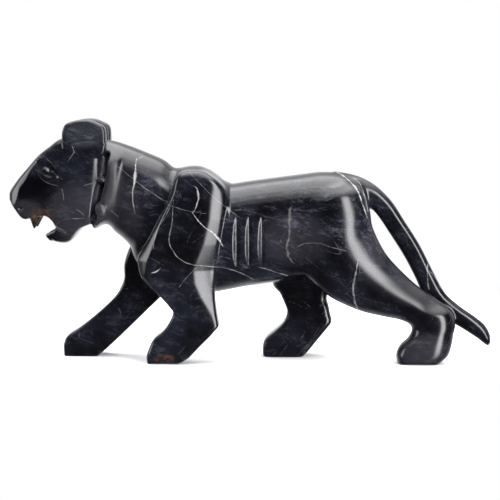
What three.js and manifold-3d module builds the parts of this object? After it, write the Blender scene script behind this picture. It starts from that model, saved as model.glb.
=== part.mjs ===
// Stone tiger figurine: a prowling big cat cut from one block of black marble, head low, mouth open.
// Millimetres, +Z up. The soles stand on z = 0, the nose points to -X and the near flank faces -Y.
import * as THREE from "three";
import { mergeVertices } from "three/addons/utils/BufferGeometryUtils.js";
import Module from "manifold-3d";

const wasm = await Module();
wasm.setup();

// Driving dimensions
const LENGTH = 480; // nose to tail tip
const HEIGHT = 240; // soles to the tops of the ears
const WIDTH = 94; // flank to flank, across the shoulders

// The carver's grid. The side view is squared off in 480 steps back from the nose and 240 up from the
// soles, and the plan in 47 steps from the middle plane to the face of a shoulder.
const GRID_LENGTH = 480;
const GRID_HEIGHT = 240;
const GRID_HALF_WIDTH = 47;
const alongX = (x) => (x / GRID_LENGTH - 0.5) * LENGTH;
const upZ = (z) => (z / GRID_HEIGHT) * HEIGHT;
const acrossY = (y) => (y / GRID_HALF_WIDTH) * (WIDTH / 2);

// Rib grooves, ground into each flank with a disc, so they fade out at both ends
const RIB_GROOVES = 3;
const RIB_GROOVE_PITCH = 13;
const RIB_GROOVE_LENGTH = 60; // on a flat face; the curve of the flank leaves less
const RIB_GROOVE_WIDTH = 8;
const RIB_GROOVE_DEPTH = 3.2;

// Upper canine teeth, which hang into the open mouth
const CANINE_LENGTH = 12;
const CANINE_WIDTH = 15;
const CANINE_THICKNESS = 8;
const CANINE_SPREAD = 20; // between the middles of the two

// Ears
const EAR_THICKNESS = 15.5;
const EAR_SPREAD = 50; // between the middles of the ears
const EAR_EDGE = 3; // bevel of the ear's rim

// Groove behind each cheek, which parts the head from the ruff
const CHEEK_GROOVE_WIDTH = 7.5;
const CHEEK_GROOVE_DEPTH = 5;

// Eyes
const EYE_WIDTH = 9;
const EYE_HEIGHT = 6.5;
const BROW_THICKNESS = 5;

// Angles of one quarter of a section, chosen so that the corners of a bevelled section are hit
const QUARTER_COARSE = [0, 33, 57];
const QUARTER_FINE = [0, 17, 33, 45, 57, 73];
const BEVEL = 0.36; // share of a squared section's half size that its corner bevels take

// Joining and cutting

// A geometry with nothing but its triangles
function plain(geometry) {
  const bare = geometry.index ? geometry.toNonIndexed() : geometry.clone();
  bare.deleteAttribute("normal");
  bare.deleteAttribute("uv");
  return bare;
}

// A closed geometry as a solid for joining and cutting.
function solid(geometry) {
  const merged = mergeVertices(plain(geometry), 1e-4);
  return new wasm.Manifold(
    new wasm.Mesh({
      numProp: 3,
      vertProperties: merged.attributes.position.array,
      triVerts: new Uint32Array(merged.index.array),
    }),
  );
}

// A solid back as a geometry.
function geometryOf(made) {
  const mesh = made.getMesh();
  const geometry = new THREE.BufferGeometry();
  geometry.setAttribute("position", new THREE.BufferAttribute(mesh.vertProperties, mesh.numProp));
  geometry.setIndex(new THREE.BufferAttribute(mesh.triVerts, 1));
  geometry.computeVertexNormals();
  return geometry;
}

const join = (solids) => solids.reduce((whole, piece) => whole.add(piece));
const cut = (whole, cutters) => cutters.reduce((left, cutter) => left.subtract(cutter), whole);

// Lofts

// How far out a section reaches in the direction of an angle, where 1 is its half size. A power of 2 is
// an oval, and a high one is a box with bevelled corners.
function reach(angle, power) {
  const u = Math.abs(Math.cos(angle));
  const v = Math.abs(Math.sin(angle));
  const bevelled = (u + v) / (2 - BEVEL);
  return 1 / (u ** power + v ** power + bevelled ** (power * 2)) ** (1 / power);
}

// A closed form swept through cuts. Each cut is a line across the side view, from one edge of the form to
// the other, and says how the form stands out sideways there: [x, z, x, z, middle y, half width, power].
function loft(cuts, { quarter = QUARTER_FINE, rings = 2 } = {}) {
  const curve = (pick) =>
    new THREE.CatmullRomCurve3(cuts.map((c) => new THREE.Vector3(...pick(c))), false, "catmullrom", 0.5);
  const near = curve((c) => [alongX(c[0]), 0, upZ(c[1])]);
  const far = curve((c) => [alongX(c[2]), 0, upZ(c[3])]);
  const side = curve((c) => [acrossY(c[4]), acrossY(c[5]), c[6]]);
  const angles = [0, 90, 180, 270].flatMap((start) =>
    quarter.map((_, i) => THREE.MathUtils.degToRad(start + quarter[i])),
  );
  const count = (cuts.length - 1) * rings;
  const points = [];
  for (let ring = 0; ring <= count; ring++) {
    const t = ring / count;
    const a = near.getPoint(t);
    const b = far.getPoint(t);
    const { x: middle, y: half, z: power } = side.getPoint(t);
    const centre = a.clone().add(b).multiplyScalar(0.5);
    const out = a.clone().sub(centre);
    for (const angle of angles) {
      const r = reach(angle, power);
      const p = centre.clone().addScaledVector(out, r * Math.cos(angle));
      points.push(p.x, middle + half * r * Math.sin(angle), p.z);
    }
    if (ring === 0 || ring === count) points.push(centre.x, middle, centre.z);
  }
  return solid(closedRings(points, angles.length, count));
}

// Faces between rings of points. The first and the last ring are each followed by a centre point.
function closedRings(points, sides, count) {
  const start = (ring) => ring * sides + (ring > 0 ? 1 : 0);
  const faces = [];
  for (let i = 0; i < sides; i++) {
    const j = (i + 1) % sides;
    faces.push(sides, j, i);
    for (let ring = 0; ring < count; ring++) {
      const [a, b] = [start(ring), start(ring + 1)];
      faces.push(a + i, a + j, b + j, a + i, b + j, b + i);
    }
    const last = start(count);
    faces.push(last + sides, last + i, last + j);
  }
  const geometry = new THREE.BufferGeometry();
  geometry.setAttribute("position", new THREE.Float32BufferAttribute(points, 3));
  geometry.setIndex(faces);
  return facingOut(geometry);
}

// Turns the faces round if they face inwards.
function facingOut(geometry) {
  const p = geometry.attributes.position;
  const index = geometry.index.array;
  const [a, b, c] = [new THREE.Vector3(), new THREE.Vector3(), new THREE.Vector3()];
  let volume = 0;
  for (let i = 0; i < index.length; i += 3) {
    a.fromBufferAttribute(p, index[i]);
    b.fromBufferAttribute(p, index[i + 1]);
    c.fromBufferAttribute(p, index[i + 2]);
    volume += a.dot(b.cross(c));
  }
  if (volume < 0) {
    for (let i = 0; i < index.length; i += 3) {
      [index[i + 1], index[i + 2]] = [index[i + 2], index[i + 1]];
    }
  }
  return geometry;
}

// The same cuts on the other side of the middle plane
const mirrored = (cuts) => cuts.map((c) => [...c.slice(0, 4), -c[4], c[5], c[6]]);

// The masses of the body

function trunk() {
  return loft(
    [
      [150, 172, 150, 78, 0, 30, 3],
      [175, 182, 175, 66.5, 0, 35, 3.5],
      [200, 177, 200, 66.5, 0, 37.5, 4],
      [219.5, 176.2, 219.5, 69.6, 0, 38, 4.2],
      [240, 179.2, 240, 73.7, 0, 38.5, 4.2],
      [270, 183.2, 270, 78, 0, 39, 4.2],
      [290, 185.8, 290, 80.5, 0, 40, 4],
      [310, 188.4, 310, 81, 0, 41, 3.6],
      [328, 187.8, 330, 84, 0, 41, 3.2],
      [342, 184, 343, 92, 0, 38, 2.8],
      [352, 176, 352, 108, 0, 30, 2.5],
      [359, 157, 359, 132, 0, 16, 2.3],
    ],
    { rings: 1 },
  );
}

// The hump that the two shoulder blades make above the back
function withers() {
  return loft(
    [
      [166.5, 189.8, 166.5, 120, 0, 26, 3],
      [170.5, 191.7, 170.5, 110, 0, 32, 3.4],
      [180, 193.9, 180, 100, 0, 35, 3.6],
      [191, 193.7, 191, 100, 0, 36, 3.6],
      [200, 189.8, 200, 100, 0, 36, 3.6],
      [210, 182.9, 210, 105, 0, 36, 3.4],
      [219, 176.5, 219, 115, 0, 35, 3.2],
    ],
    { rings: 1 },
  );
}

function neck() {
  return loft([
    [78, 218, 80, 142, 0, 22, 2.4],
    [90, 221, 88, 138, 0, 26, 2.4],
    [104, 219.4, 97.5, 136.2, 0, 30, 2.8],
    [120.3, 214.3, 105.6, 127.4, 0, 32, 3],
    [138, 207.4, 113, 121.2, 0, 33, 3],
    [155, 199.9, 120.6, 112.5, 0, 34, 3],
    [167.5, 190.5, 127, 95, 0, 35, 3],
    [186, 184, 150, 72, 0, 36, 2.6],
    [203, 176, 175, 67, 0, 34, 2.6],
  ]);
}

// The legs, from the shoulder blade or the hip down to the sole

function nearForeleg() {
  return loft(
    [
      [180, 191, 196, 190.5, -25, 17, 6],
      [171, 188, 209, 182, -24, 21.5, 8],
      [167, 180.5, 217.5, 173.5, -23, 23.5, 10],
      [164, 167, 218.7, 162, -23, 24, 10],
      [152.2, 142.7, 214.5, 141, -23, 24, 10],
      [140.4, 120.2, 210.8, 120, -23.5, 23.5, 10],
      [131.2, 106, 208.5, 101, -24.5, 22.5, 10],
      [131.6, 95, 207.2, 88, -25.5, 21, 10],
      [136.6, 82, 206.4, 75, -27, 19, 10],
      [152.4, 67.1, 206.8, 63, -28, 17.5, 10],
      [162.3, 55.8, 208.4, 51, -28.5, 16.5, 10],
      [165.2, 49.5, 210.8, 37.3, -28.5, 16.5, 10],
      [157, 34, 202.6, 27.9, -28.5, 17, 10],
      [146, 24.3, 192.4, 17.7, -28.5, 17.5, 10],
      [140.8, 13.4, 182, 6.8, -28.5, 18, 10],
      [139.2, 5.9, 175, 2, -28.5, 18, 10],
      [140.2, 0, 170, 0, -28.5, 17, 10],
    ],
    { rings: 1 },
  );
}

function farForeleg() {
  return loft(
    mirrored([
      [178, 190.5, 197, 190, -25, 17, 6],
      [167, 186, 210, 181, -24, 21.5, 8],
      [161, 177, 216, 172, -23, 23.5, 10],
      [149, 160, 215, 157, -23, 24, 10],
      [135, 140, 209, 134, -23, 24, 10],
      [120.5, 115, 190, 96, -23.5, 23.5, 10],
      [113.4, 95, 168, 76, -25, 21.5, 10],
      [112.4, 77.5, 152, 62.5, -27, 19, 10],
      [103.2, 61, 137, 48, -28.5, 17, 10],
      [86.8, 44.9, 108.3, 20, -28.5, 16.5, 10],
      [68.2, 29.8, 94.5, 7.3, -28.5, 17, 10],
      [55.5, 21.3, 91, 4.2, -28.5, 17.5, 10],
      [51, 13.5, 89, 2.6, -28.5, 18, 10],
      [51, 0, 86, 0, -28.5, 17, 10],
    ]),
    { rings: 1 },
  );
}

function nearHindLeg() {
  return loft(
    [
      [312, 170, 336, 176, -18, 14, 2.4],
      [300, 160, 352, 169, -20, 19, 2.6],
      [293, 144, 359.2, 153, -20.5, 22, 2.8],
      [289, 124, 362.6, 137.8, -21, 23.5, 3],
      [289.4, 103, 369.9, 120.9, -21.5, 24, 3],
      [296, 86, 378.8, 106.3, -22, 24, 3],
      [317, 65.5, 390.6, 93.3, -23.5, 22.5, 3],
      [346, 51.8, 403, 81.3, -25, 21, 3],
      [371, 45.8, 416, 70.8, -26.5, 18.5, 3],
      [386, 43.2, 429, 60.4, -27.5, 17.5, 3],
      [396.8, 39.7, 440.5, 51.1, -28, 17, 3.2],
      [400.2, 34.2, 443.9, 39, -28.5, 17, 3.2],
      [397, 26.7, 442.2, 28, -28.5, 17.5, 3.2],
      [389, 18.7, 440.6, 18.2, -28.5, 18.5, 3.4],
      [385.3, 10.1, 436.8, 7.8, -28.5, 18.5, 3.8],
      [386.4, 0, 428.4, 0, -28.5, 18, 4.2],
    ],
    { rings: 1 },
  );
}

function farHindLeg() {
  return loft(
    mirrored([
      [312, 170, 336, 176, -18, 14, 2.4],
      [299, 158, 351, 169, -20, 19, 2.6],
      [287, 132, 358.5, 150, -21, 23, 2.8],
      [275, 108, 356, 120, -22, 24, 3],
      [262.6, 76.5, 327, 82, -25, 20.5, 5],
      [270, 63.9, 318, 61.5, -27, 18, 8],
      [276.3, 49.7, 319.5, 51.5, -27.5, 17.5, 10],
      [276.8, 43, 321, 43.5, -27.5, 17.5, 10],
      [273.6, 35, 322.3, 35, -27.5, 17.5, 10],
      [265.4, 27, 314.6, 24.6, -27.5, 18, 10],
      [256.6, 19.6, 306.8, 15, -27.5, 18.5, 10],
      [252.9, 12.6, 300.8, 7.6, -27.5, 19, 10],
      [252.7, 2.4, 296.5, 2.8, -27.5, 19, 10],
      [254, 0, 293.5, 0, -27.5, 18, 10],
    ]),
    { rings: 1 },
  );
}

// The tail leaves the rump on the middle plane, swings towards the near hock and grows into it.
function tail() {
  return loft(
    [
      [325, 188, 322, 160, 0, 14, 2.6],
      [343.4, 185.3, 339, 158, 0, 13, 3],
      [355, 181, 349, 156, 0, 11.5, 3.4],
      [368.2, 172.3, 359.4, 152.6, 0, 10, 5],
      [382, 158.1, 368.2, 143.6, 0, 9.5, 7],
      [394.3, 139.2, 378.6, 128.1, -1, 9, 8],
      [409.1, 115.9, 393.6, 104.7, -5, 9, 8],
      [423.4, 87.8, 405.2, 82.6, -10, 9, 8],
      [434.3, 68.6, 417, 57, -13, 9, 8],
      [449.4, 55.2, 436, 42.5, -14, 9, 8],
      [461.6, 46.8, 450, 34, -14, 8.5, 6],
      [473.2, 37.6, 465.3, 24.2, -14, 8, 4.5],
      [479, 28, 473.4, 17.8, -14, 7, 3.4],
      [480, 19.6, 477.2, 15.6, -14, 4, 2.6],
    ],
    { quarter: QUARTER_COARSE, rings: 1 },
  );
}

// The head

function skull() {
  return loft([
    [0, 166, 0.2, 160, 0, 9, 10],
    [2, 170.6, 6, 150.8, 0, 13, 10],
    [10.2, 181.5, 14.8, 140.8, 0, 16, 10],
    [20.3, 192.9, 28, 140, 0, 18.5, 10],
    [30.3, 204.2, 40.3, 138, 0, 22, 10],
    [41.2, 213, 52, 130, 0, 27, 8],
    [53.5, 221.4, 63, 127, 0, 30.5, 8],
    [70, 223, 74, 133, 0, 33, 10],
    [86, 221, 82.5, 136.5, 0, 33, 10],
    [93, 218, 88.5, 140, 0, 31, 8],
  ]);
}

function jaw() {
  return loft([
    [36.2, 124.6, 36.3, 122.3, 0, 6, 4],
    [41, 129.5, 41.5, 120.4, 0, 10, 6],
    [46, 133, 47, 118, 0, 14, 6],
    [54, 142, 57.5, 117.2, 0, 19, 6],
    [62, 152, 64.6, 122, 0, 25, 6],
    [70, 160, 72.6, 135, 0, 29, 6],
  ]);
}

// Collar of carved hair behind the cheeks
function ruff() {
  return loft(
    [
      [90, 206, 82.5, 136, 0, 28, 4],
      [94.5, 205, 86, 130.8, 0, 33, 6],
      [102, 207, 94.5, 137, 0, 35.5, 7],
      [110, 205, 102.5, 141, 0, 33.5, 7],
    ],
    { rings: 1 },
  );
}

// A plate shaped by an outline in the side view, as thick as given, its middle at one sideways position
function plate(outline, middle, thickness, bevel = 0) {
  const shape = new THREE.Shape(outline.map(([x, z]) => new THREE.Vector2(alongX(x), upZ(z))));
  const geometry = new THREE.ExtrudeGeometry(shape, {
    depth: thickness - 2 * bevel,
    bevelEnabled: bevel > 0,
    bevelThickness: bevel,
    bevelSize: bevel,
    bevelOffset: -bevel,
    bevelSegments: 1,
  });
  geometry.rotateX(Math.PI / 2);
  geometry.translate(0, middle + thickness / 2 - bevel, 0);
  return solid(facingOut(mergeVertices(plain(geometry), 1e-4)));
}

// A ball pressed flat. Its long axis dips towards the tail by one angle, and its face turns to look
// forwards by another, both in degrees.
function lens({ side, x, y, z, size, dip = 0, turn = 0, segments = 12 }) {
  const geometry = new THREE.SphereGeometry(0.5, segments, Math.round(segments * 0.66));
  const [length, thickness, height] = size;
  geometry.scale(length, thickness, height);
  geometry.rotateY(THREE.MathUtils.degToRad(dip));
  geometry.rotateZ(THREE.MathUtils.degToRad(side * turn));
  geometry.translate(alongX(x), side * acrossY(y), upZ(z));
  return solid(geometry);
}

const bothSides = (make) => [make(-1), make(1)];

function ears() {
  const outline = [
    [60, 214],
    [56, 223],
    [56.9, 230.5],
    [59.6, 235.6],
    [65, 238.2],
    [73, 240],
    [83, 240],
    [91, 237.2],
    [98, 232.6],
    [99.4, 221.6],
    [96.5, 208.5],
    [88, 205],
    [70, 207],
  ];
  return bothSides((side) => plate(outline, (side * EAR_SPREAD) / 2, EAR_THICKNESS, EAR_EDGE));
}

// The mouth is cut right through from cheek to cheek.
function mouth() {
  const outline = [
    [8, 130],
    [14.8, 140.9],
    [18, 140.7],
    [24, 143.6],
    [33.6, 144.4],
    [36.5, 145],
    [41.2, 143],
    [45.4, 138.8],
    [47.2, 133],
    [45.2, 130.8],
    [40.3, 128.3],
    [36.2, 123.4],
    [28, 112],
    [8, 112],
  ];
  return plate(outline, 0, WIDTH);
}

function canines() {
  const [rootX, rootZ] = [24.9, 144.3];
  return bothSides((side) => {
    const geometry = new THREE.ConeGeometry(0.5, 2 * CANINE_LENGTH, 6);
    geometry.scale(CANINE_WIDTH * 2, 1, CANINE_THICKNESS * 2);
    geometry.rotateX(-Math.PI / 2);
    geometry.translate(alongX(rootX), (side * CANINE_SPREAD) / 2, upZ(rootZ));
    return solid(geometry);
  });
}

// Shallow hollows on both sides of the muzzle, which leave the bridge of the nose standing
function muzzleHollows() {
  const hollow = { x: 27.5, y: 34.6, z: 171, size: [62, 32, 33], dip: -21, turn: 17 };
  return bothSides((side) => lens({ side, ...hollow }));
}

function sockets() {
  const socket = { x: 42, y: 36.5, z: 186.5, size: [44, 28, 27], dip: 48, turn: 20 };
  return bothSides((side) => lens({ side, ...socket }));
}

function eyes() {
  const eye = { x: 39.3, y: 21.8, z: 189.5, size: [EYE_WIDTH, 9, EYE_HEIGHT], dip: 30, segments: 10 };
  return bothSides((side) => lens({ side, ...eye }));
}

function brows() {
  const line = [
    [33, 200],
    [40, 199.5],
    [47, 196],
    [53, 190.5],
  ];
  const [innerY, flare] = [20.5, 3.2]; // the head widens backwards from point to point
  return bothSides((side) => {
    const path = new THREE.CatmullRomCurve3(
      line.map(([x, z], i) => new THREE.Vector3(alongX(x), side * acrossY(innerY + flare * i), upZ(z))),
    );
    return capped(path, BROW_THICKNESS / 2);
  });
}

// A closed round bar along a path
function capped(path, radius) {
  const steps = 6;
  const sides = 6;
  const frames = path.computeFrenetFrames(steps);
  const points = [];
  for (let ring = 0; ring <= steps; ring++) {
    const centre = path.getPointAt(ring / steps);
    for (let i = 0; i < sides; i++) {
      const angle = (i / sides) * 2 * Math.PI;
      const p = centre
        .clone()
        .addScaledVector(frames.normals[ring], radius * Math.cos(angle))
        .addScaledVector(frames.binormals[ring], radius * Math.sin(angle));
      points.push(p.x, p.y, p.z);
    }
    if (ring === 0 || ring === steps) points.push(centre.x, centre.y, centre.z);
  }
  return solid(closedRings(points, sides, steps));
}

function ruffLobes() {
  return bothSides((side) => [
    lens({ side, x: 93.5, y: 31.5, z: 151.5, size: [11, 7, 15], segments: 10 }),
    lens({ side, x: 95.5, y: 29, z: 180, size: [8, 9, 8], segments: 8 }),
  ]).flat();
}

function cheekGrooves() {
  const half = CHEEK_GROOVE_WIDTH / 2;
  const line = [
    [97.5, 204],
    [96.5, 190],
    [94, 175],
    [90, 158],
    [86, 142],
    [82, 128],
  ];
  const [cheekY, clear] = [33, 5]; // the face of the cheek, and how far the cutter stands clear of it
  const front = line.map(([x, z]) => [x - half, z]);
  const back = line.map(([x, z]) => [x + half, z]).reverse();
  const thickness = CHEEK_GROOVE_DEPTH + clear;
  const middle = acrossY(cheekY) + (clear - CHEEK_GROOVE_DEPTH) / 2;
  return bothSides((side) => plate([...front, ...back], side * middle, thickness));
}

function ribGrooves() {
  const reachOut = (RIB_GROOVE_LENGTH ** 2 / 4 + RIB_GROOVE_DEPTH ** 2) / (2 * RIB_GROOVE_DEPTH);
  const halfThick = (RIB_GROOVE_WIDTH / 2 / RIB_GROOVE_DEPTH) * reachOut;
  const rim = [[0, -halfThick], [reachOut, 0], [0, halfThick]].map((p) => new THREE.Vector2(...p));
  const [ribX, flankY, ribZ] = [239.6, 38.6, 120.5];
  return bothSides((side) =>
    Array.from({ length: RIB_GROOVES }, (_, i) => {
      const disc = new THREE.LatheGeometry(rim, 96);
      disc.rotateZ(Math.PI / 2);
      const x = alongX(ribX) + (i - (RIB_GROOVES - 1) / 2) * RIB_GROOVE_PITCH;
      disc.translate(x, side * (acrossY(flankY) + reachOut - RIB_GROOVE_DEPTH), upZ(ribZ));
      return solid(facingOut(mergeVertices(plain(disc), 1e-4)));
    }),
  ).flat();
}

const head = cut(join([skull(), jaw(), ruff(), neck()]), [
  mouth(),
  ...cheekGrooves(),
  ...muzzleHollows(),
  ...sockets(),
]);
const figure = cut(
  join([
    head,
    ...eyes(),
    ...brows(),
    ...ruffLobes(),
    trunk(),
    withers(),
    nearForeleg(),
    farForeleg(),
    nearHindLeg(),
    farHindLeg(),
    tail(),
    ...ears(),
    ...canines(),
  ]),
  ribGrooves(),
);

const marble = new THREE.MeshStandardMaterial({ color: 0x24232a, roughness: 0.22, metalness: 0 });
const tiger = new THREE.Mesh(geometryOf(figure), marble);
tiger.name = "stone_tiger";

const group = new THREE.Group();
group.add(tiger);
export default group;
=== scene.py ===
# %% [markdown]
# # A tiger cut from black marble
# This lesson builds a prowling stone cat. Its masses are swept through cuts, melted together in a block of
# distances, and carved with a few chisels. Then the stone gets its veins, its clouds and its polish.

# %% Load the frame
import bpy
import numpy as np
import openvdb
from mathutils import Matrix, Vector


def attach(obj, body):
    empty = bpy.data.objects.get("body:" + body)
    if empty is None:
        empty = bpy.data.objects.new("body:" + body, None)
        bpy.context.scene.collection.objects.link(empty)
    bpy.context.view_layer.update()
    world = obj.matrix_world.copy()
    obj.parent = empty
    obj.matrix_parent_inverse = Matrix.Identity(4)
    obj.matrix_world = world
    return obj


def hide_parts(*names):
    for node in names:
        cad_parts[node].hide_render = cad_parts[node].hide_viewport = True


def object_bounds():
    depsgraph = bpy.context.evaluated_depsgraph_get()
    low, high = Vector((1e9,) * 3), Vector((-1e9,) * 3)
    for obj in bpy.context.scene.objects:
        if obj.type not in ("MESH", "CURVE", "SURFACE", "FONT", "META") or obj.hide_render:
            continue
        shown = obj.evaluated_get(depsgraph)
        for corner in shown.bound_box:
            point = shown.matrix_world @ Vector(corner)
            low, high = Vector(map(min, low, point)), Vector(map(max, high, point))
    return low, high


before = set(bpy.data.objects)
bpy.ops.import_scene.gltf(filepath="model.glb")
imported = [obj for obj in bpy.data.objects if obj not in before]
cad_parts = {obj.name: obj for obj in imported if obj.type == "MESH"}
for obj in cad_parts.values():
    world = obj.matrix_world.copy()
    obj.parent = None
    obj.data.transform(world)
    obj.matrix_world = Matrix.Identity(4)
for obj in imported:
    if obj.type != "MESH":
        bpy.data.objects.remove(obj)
cad_low, cad_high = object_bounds()
print("frame box", tuple(cad_low), tuple(cad_high))

# %% [markdown]
# ## The camera
# The figure is seen almost square from its side, from a little above, through a long lens. Setting the
# view up first means that every later step is judged from the right place.

# %% Camera
floor_z = cad_low.z
middle = Vector(((cad_low.x + cad_high.x) / 2, (cad_low.y + cad_high.y) / 2, floor_z))
view_turn = np.radians(1.5)
view_distance = 2.0
eye_height = 0.286
sensor = 36.0
seen_width = 0.5

eye = middle + Vector((np.sin(view_turn) * view_distance, -np.cos(view_turn) * view_distance, eye_height))
target = middle + Vector((0.0003, 0.0, 0.1096))
camera_data = bpy.data.cameras.new("camera")
camera_data.sensor_width = sensor
camera_data.lens = sensor * (target - eye).length / seen_width
camera = bpy.data.objects.new("camera", camera_data)
camera.location = eye
camera.rotation_euler = (target - eye).to_track_quat("-Z", "Y").to_euler()
bpy.context.scene.collection.objects.link(camera)
bpy.context.scene.camera = camera
print("lens", round(camera_data.lens, 1), "mm")

# %% [markdown]
# ## The drawing's grid
# A carver squares off the side view and the plan, so that every point of the figure is a count of steps.
# Here the grid is 480 steps long, 240 high and 94 wide, and one step is about a millimetre.

# %% Grid to metres
DRAWN = np.array([480.0, 94.0, 240.0])
box_low = np.array(cad_low)
box_size = np.array(cad_high) - box_low


def to_metres(points):
    """Grid points, with y from the middle plane, as points of the scene."""
    return box_low + (points / DRAWN + np.array([0.0, 0.5, 0.0])) * box_size


print("one step is", np.round(box_size / DRAWN * 1000, 3), "mm")

# %% [markdown]
# ## Sweeping a mass through cuts
# Each mass of the body, such as a leg, is given by a few cuts across the side view. A cut names its two
# ends, how far off the middle plane it lies, how far it stands out sideways and how square it is. Between
# the cuts the form is bent smoothly, like a lath held at a few nails. The masses could also be pulled out
# of a cube by hand, but a cut can be read off the drawing and mended by itself.

# %% Sweeps
SIDES = 64
STEPS = 8


def bend(rows):
    """Smooth curve through rows of values, with STEPS points from each row to the next."""
    rows = np.array(rows, float)
    held = [2 * rows[0] - rows[1], *rows, 2 * rows[-1] - rows[-2]]
    out = []
    for a, b, c, d in zip(held, held[1:], held[2:], held[3:]):
        for t in np.arange(STEPS) / STEPS:
            cubic = 2 * b + (c - a) * t + (2 * a - 5 * b + 4 * c - d) * t**2 + (3 * b - a - 3 * c + d) * t**3
            out.append(cubic / 2)
    return np.array([*out, rows[-1]])


def straight(rows):
    """The same number of points, on straight lines from row to row."""
    rows = np.array(rows, float)
    t = np.linspace(0, len(rows) - 1, (len(rows) - 1) * STEPS + 1)
    return np.stack([np.interp(t, np.arange(len(rows)), column) for column in rows.T], 1)


def sweep(cuts, bevel=0.36, sharp_back=False):
    """Points and triangles of a closed form through cuts: x, z, x, z, middle y, half width, squareness.

    The bevel is the share of a square section's half size that is ground off its corners."""
    cuts = np.array(cuts, float)
    front = bend(cuts[:, 0:2])
    back = (straight if sharp_back else bend)(cuts[:, 2:4])
    middle_y, half_y, power = bend(cuts[:, 4:7]).T[:, :, None]
    angle = np.linspace(0, 2 * np.pi, SIDES, endpoint=False)[None, :]
    u, v = np.cos(angle), np.sin(angle)
    corner = (abs(u) + abs(v)) / (2 - bevel)
    reach = (abs(u) ** power + abs(v) ** power + corner ** (power * 2)) ** (-1 / power)
    centre = (front + back) / 2
    out = front - centre
    x = centre[:, :1] + out[:, :1] * reach * u
    z = centre[:, 1:] + out[:, 1:] * reach * u
    y = middle_y + half_y * reach * v
    rings = np.stack([x, y, z], 2)
    points = np.concatenate([rings.reshape(-1, 3), [rings[0].mean(0), rings[-1].mean(0)]])
    i = np.arange(SIDES)
    j = (i + 1) % SIDES
    last = (len(rings) - 1) * SIDES
    hub = np.full(SIDES, len(rings) * SIDES)
    faces = [np.stack([hub, j, i], 1), np.stack([hub + 1, last + i, last + j], 1)]
    for a in range(0, last, SIDES):
        b = a + SIDES
        faces += [np.stack([a + i, a + j, b + j], 1), np.stack([a + i, b + j, b + i], 1)]
    return points, np.concatenate(faces)


def mirrored(cuts):
    """The same cuts on the far side of the middle plane."""
    return [[*cut[:4], -cut[4], *cut[5:]] for cut in cuts]


print("a sweep has", SIDES, "sides, and", STEPS, "rings from each cut to the next")

# %% [markdown]
# ## The block of distances
# A sculptor's block is easiest to carve when every point in it knows how far it is from the surface: below
# zero is stone and above zero is air. Two masses then melt into each other by one formula, and a chisel
# takes stone away by the same formula turned round. Booleans on meshes would leave every join a hard
# crease, which polished stone never has.

# %% Block
VOXEL = 0.75  # steps of the drawing's grid
BAND = 12.0  # distances are kept up to this far from the surface
LOW = np.array([-5.0, -52.0, -5.0])
HIGH = np.array([485.0, 52.0, 246.0])
SHAPE = tuple(int(n) for n in np.ceil((HIGH - LOW) / VOXEL))
AXES = [LOW[k] + VOXEL * np.arange(SHAPE[k], dtype=np.float32) for k in range(3)]


def stone(swept):
    """Distances to a closed mesh, all over the block."""
    points, faces = swept
    grid = openvdb.FloatGrid.createLevelSetFromPolygons(
        np.ascontiguousarray((points - LOW) / VOXEL, np.float32),
        triangles=np.ascontiguousarray(faces, np.uint32),
        halfWidth=BAND / VOXEL,
    )
    block = np.empty(SHAPE, np.float32)
    grid.copyToArray(block)
    return block * np.float32(VOXEL)


def melt(a, b, soft):
    """Both masses as one, with the crease between them filled to about this radius."""
    near = np.maximum(soft - abs(a - b), 0) / soft
    return np.minimum(a, b) - near * near * soft / 4


def polish(block, passes):
    """Rub the surface down: each pass averages a point with its neighbours along each axis."""
    for _ in range(passes):
        for axis in range(3):
            ahead = np.roll(block, -1, axis)
            behind = np.roll(block, 1, axis)
            block = (block * 2 + ahead + behind) * np.float32(0.25)
    return block


def window(low, high, room=4):
    """The part of the block between two corners in x and z, with its x, distance from the middle, and z."""
    first = [max(int((low[k] - room - LOW[2 * k]) / VOXEL), 0) for k in range(2)]
    last = [min(int((high[k] + room - LOW[2 * k]) / VOXEL) + 2, SHAPE[2 * k]) for k in range(2)]
    part = (slice(first[0], last[0]), slice(None), slice(first[1], last[1]))
    return part, AXES[0][part[0], None, None], abs(AXES[1])[None, :, None], AXES[2][None, None, part[2]]


def rounded(block, low, high, passes, fade):
    """Polish one window of the block more than the rest, with less and less done towards its edges."""
    part, x, _, z = window(low, high, 0)
    inwards = np.minimum(np.minimum(x - low[0], high[0] - x), np.minimum(z - low[1], high[1] - z))
    share = np.clip(inwards / fade, 0, 1)
    share = (share * share * (3 - 2 * share)).astype(np.float32)
    block[part] += (polish(block[part], passes) - block[part]) * share


def add(block, tool, soft):
    """Melt a chisel's shape onto the block, in its own window."""
    part, shape = tool
    block[part] = melt(block[part], shape, soft)


def carve(block, tool, soft):
    """Take a chisel's shape out of the block, and break the edge by about this radius."""
    part, shape = tool
    block[part] = -melt(-block[part], shape, soft)


print("block of", SHAPE, "points")

# %% [markdown]
# ## The trunk, the withers and the neck
# These are the masses that the legs and the head grow out of. The flanks are nearly flat, because the cat
# is cut from a slab, and the blades of the shoulders make a hump above the back.

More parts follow.
